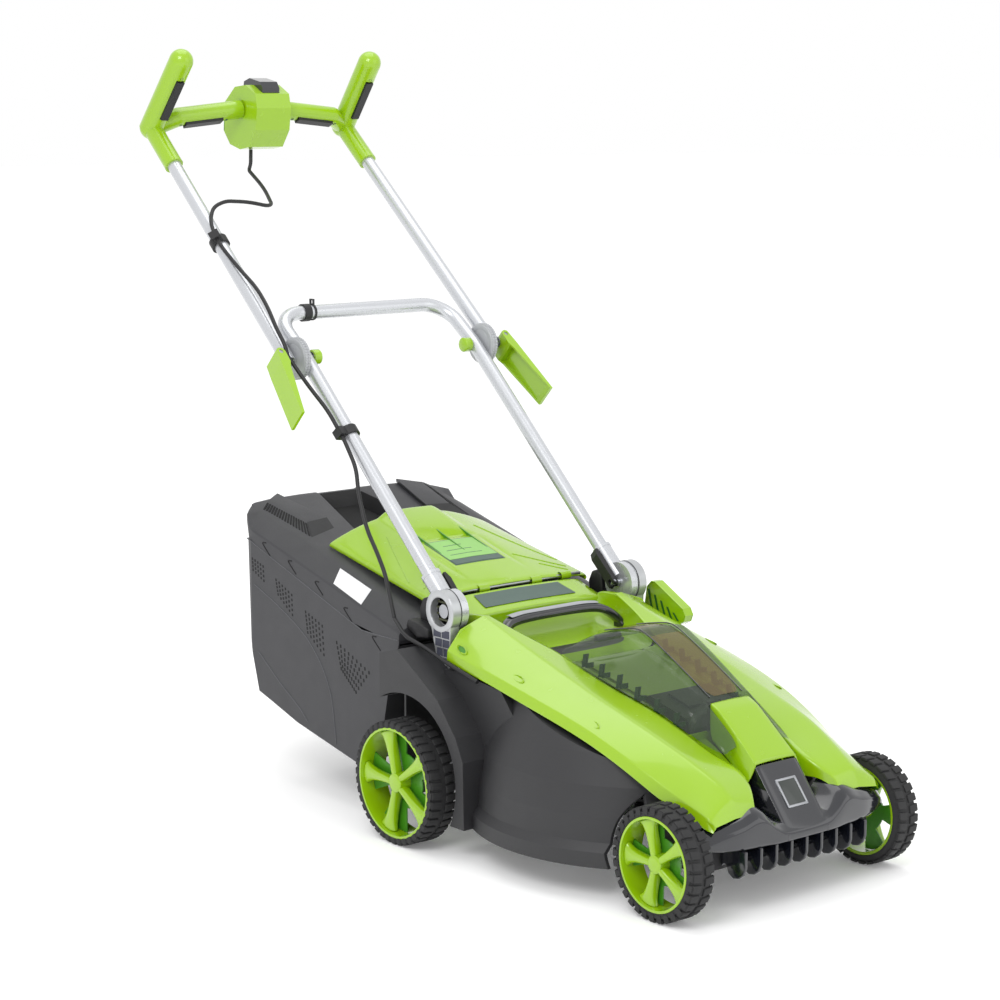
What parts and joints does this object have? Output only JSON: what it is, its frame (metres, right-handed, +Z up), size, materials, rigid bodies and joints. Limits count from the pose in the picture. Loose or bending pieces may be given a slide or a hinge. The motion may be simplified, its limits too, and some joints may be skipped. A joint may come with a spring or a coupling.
{
  "type": "push lawn mower",
  "caption": "Cordless push lawn mower with a green hood on a black deck, a smoked battery lid, a rear grass box under a flap and a folding tube handle with horn grips.",
  "frame": {"origin": "on the ground at the middle of the whole object's bounding box", "axes": "+Z up, -Y is the mower's front (direction of mowing), +Y towards the operator, +X the operator's left"},
  "size_m": [0.531, 1.302, 1.112],
  "materials": {
    "green": "gloss",
    "tyre": "matte",
    "steel": "brushed",
    "deck": "fine matte texture",
    "gloss_black": "gloss",
    "badge": "satin",
    "lid": "smoked gloss",
    "pack": "matte",
    "motor": "satin",
    "fan": "matte",
    "blade": "ground",
    "board": "matte",
    "box": "fine matte texture",
    "bracket": "cast satin",
    "switch": "matte",
    "tube": "satin",
    "clip": "matte",
    "disc": "matte",
    "cable": "matte",
    "button": "satin"
  },
  "bodies": {
    "base": {"deck_shell": "deck", "hood_cover": "green", "front_bumper": "gloss_black", "badge_plate": "badge", "carry_handle": "gloss_black", "battery_bay": "green", "motor_can": "motor", "control_board": "board", "body_screws": "steel", "flap_rod": "steel", "handle_bracket_left": "bracket", "handle_bracket_right": "bracket", "pivot_bolts": "steel", "cable_deck": "cable"},
    "battery_lid": {"battery_lid": "lid"},
    "battery_pack": {"battery_pack": "pack"},
    "cutter": {"motor_shaft": "steel", "blade_carrier": "fan", "blade": "blade", "blade_bolt": "steel"},
    "rear_axle": {"rear_axle": "steel", "height_lever": "green", "rear_axle_washers": "steel"},
    "front_axle": {"front_axle": "steel", "front_axle_washers": "steel"},
    "height_rod": {"height_rod": "steel"},
    "rear_flap": {"rear_flap": "green"},
    "grass_box": {"grass_box_tub": "box", "grass_box_lid": "box"},
    "lower_handle": {"lower_handle": "tube", "bar_clip": "clip", "tube_sockets": "tube", "lower_discs": "disc", "cable_clip_lower": "clip", "cable_lower": "cable"},
    "upper_handle": {"upper_tubes": "tube", "upper_discs": "disc", "grip_frame": "green", "switch_box": "green", "switch_unit": "pack", "clamp_bolts": "steel", "cable_clip_upper": "clip", "cable_upper": "cable"},
    "lock_button": {"lock_button": "button"},
    "front_left_wheel": {"front_left_tyre": "tyre", "front_left_rim": "green"},
    "front_right_wheel": {"front_right_tyre": "tyre", "front_right_rim": "green"},
    "rear_left_wheel": {"rear_left_tyre": "tyre", "rear_left_rim": "green"},
    "rear_right_wheel": {"rear_right_tyre": "tyre", "rear_right_rim": "green"},
    "lock_lever_left": {"lock_lever_left": "switch"},
    "quick_lever_left": {"quick_lever_left": "green"},
    "horn_lever_left": {"horn_lever_left": "switch"},
    "bar_lever_left": {"bar_lever_left": "switch"},
    "lock_lever_right": {"lock_lever_right": "switch"},
    "quick_lever_right": {"quick_lever_right": "green"},
    "horn_lever_right": {"horn_lever_right": "switch"},
    "bar_lever_right": {"bar_lever_right": "switch"}
  },
  "joints": [
    {"name": "rear_axle_tilt", "type": "hinge", "parent": "base", "child": "rear_axle", "pos_m": [0, -0.064, 0.089], "axis": [1, 0, 0], "range_deg": [-26, 26]},
    {"name": "front_axle_tilt", "type": "hinge", "parent": "base", "child": "front_axle", "pos_m": [0, -0.538, 0.076], "axis": [1, 0, 0], "range_deg": [-26, 26]},
    {"name": "height_rod_turn", "type": "hinge", "parent": "rear_axle", "child": "height_rod", "pos_m": [0.144, -0.064, 0.115], "axis": [1, 0, 0], "range_deg": [-26, 26]},
    {"name": "rear_left_wheel_spin", "type": "hinge", "parent": "rear_axle", "child": "rear_left_wheel", "pos_m": [0.235, -0.101, 0.089], "axis": [1, 0, 0], "continuous": true},
    {"name": "rear_right_wheel_spin", "type": "hinge", "parent": "rear_axle", "child": "rear_right_wheel", "pos_m": [-0.235, -0.101, 0.089], "axis": [1, 0, 0], "continuous": true},
    {"name": "front_left_wheel_spin", "type": "hinge", "parent": "front_axle", "child": "front_left_wheel", "pos_m": [0.19, -0.575, 0.076], "axis": [1, 0, 0], "continuous": true},
    {"name": "front_right_wheel_spin", "type": "hinge", "parent": "front_axle", "child": "front_right_wheel", "pos_m": [-0.19, -0.575, 0.076], "axis": [1, 0, 0], "continuous": true},
    {"name": "blade_spin", "type": "hinge", "parent": "base", "child": "cutter", "pos_m": [0, -0.336, 0.07], "axis": [0, 0, 1], "continuous": true},
    {"name": "flap_hinge", "type": "hinge", "parent": "base", "child": "rear_flap", "pos_m": [0, -0.037, 0.33], "axis": [1, 0, 0], "range_deg": [0, 60]},
    {"name": "grass_box_pull", "type": "slide", "parent": "base", "child": "grass_box", "axis": [0, 1, 0], "range_m": [0, 0.35]},
    {"name": "battery_lid_hinge", "type": "hinge", "parent": "base", "child": "battery_lid", "pos_m": [0, -0.546, 0.2], "axis": [1, 0, 0], "range_deg": [0, 70]},
    {"name": "battery_lift", "type": "slide", "parent": "base", "child": "battery_pack", "axis": [0, 0, 1], "range_m": [0, 0.0563]},
    {"name": "lower_handle_fold", "type": "hinge", "parent": "base", "child": "lower_handle", "pos_m": [0, -0.106, 0.324], "axis": [1, 0, 0], "range_deg": [0, 128]},
    {"name": "upper_handle_fold", "type": "hinge", "parent": "lower_handle", "child": "upper_handle", "pos_m": [0, 0.243, 0.653], "axis": [1, 0, 0], "range_deg": [-171, 0]},
    {"name": "lock_lever_left_flip", "type": "hinge", "parent": "base", "child": "lock_lever_left", "pos_m": [0.144, -0.106, 0.324], "axis": [0, -0.6859, 0.7276], "range_deg": [0, 18]},
    {"name": "quick_lever_left_flip", "type": "hinge", "parent": "upper_handle", "child": "quick_lever_left", "pos_m": [0.216, 0.243, 0.653], "axis": [0, -0.6859, 0.7276], "range_deg": [0, 100]},
    {"name": "horn_lever_left_press", "type": "hinge", "parent": "upper_handle", "child": "horn_lever_left", "pos_m": [0.18579, 0.59381, 1.00674], "axis": [-1, 0, 0], "range_deg": [0, 4], "stiffness_Nm_per_rad": 0.6, "springref_deg": -8.59},
    {"name": "bar_lever_left_press", "type": "hinge", "parent": "upper_handle", "child": "bar_lever_left", "pos_m": [0.0736, 0.59771, 1.00431], "axis": [0.0604, -0.8908, 0.4504], "range_deg": [0, 3.5], "stiffness_Nm_per_rad": 0.6, "springref_deg": -8.59},
    {"name": "lock_lever_right_flip", "type": "hinge", "parent": "base", "child": "lock_lever_right", "pos_m": [-0.144, -0.106, 0.324], "axis": [0, 0.6859, -0.7276], "range_deg": [0, 18]},
    {"name": "quick_lever_right_flip", "type": "hinge", "parent": "upper_handle", "child": "quick_lever_right", "pos_m": [-0.216, 0.243, 0.653], "axis": [0, 0.6859, -0.7276], "range_deg": [0, 100]},
    {"name": "horn_lever_right_press", "type": "hinge", "parent": "upper_handle", "child": "horn_lever_right", "pos_m": [-0.18579, 0.59381, 1.00674], "axis": [-1, 0, 0], "range_deg": [0, 4], "stiffness_Nm_per_rad": 0.6, "springref_deg": -8.59},
    {"name": "bar_lever_right_press", "type": "hinge", "parent": "upper_handle", "child": "bar_lever_right", "pos_m": [-0.0736, 0.59771, 1.00431], "axis": [0.0604, 0.8908, -0.4504], "range_deg": [0, 3.5], "stiffness_Nm_per_rad": 0.6, "springref_deg": -8.59},
    {"name": "lock_button_press", "type": "slide", "parent": "upper_handle", "child": "lock_button", "axis": [0, 0, -1], "range_m": [0, 0.005], "stiffness_N_per_m": 300, "springref_m": -0.003}
  ],
  "couplings": [
    {"joint": "front_axle_tilt", "follows": "rear_axle_tilt", "ratio": 1},
    {"joint": "height_rod_turn", "follows": "rear_axle_tilt", "ratio": -1},
    {"joint": "upper_handle_fold", "follows": "lower_handle_fold", "ratio": -1.328},
    {"joint": "battery_lift", "follows": "battery_lid_hinge", "m_per_rad": 0.046}
  ]
}
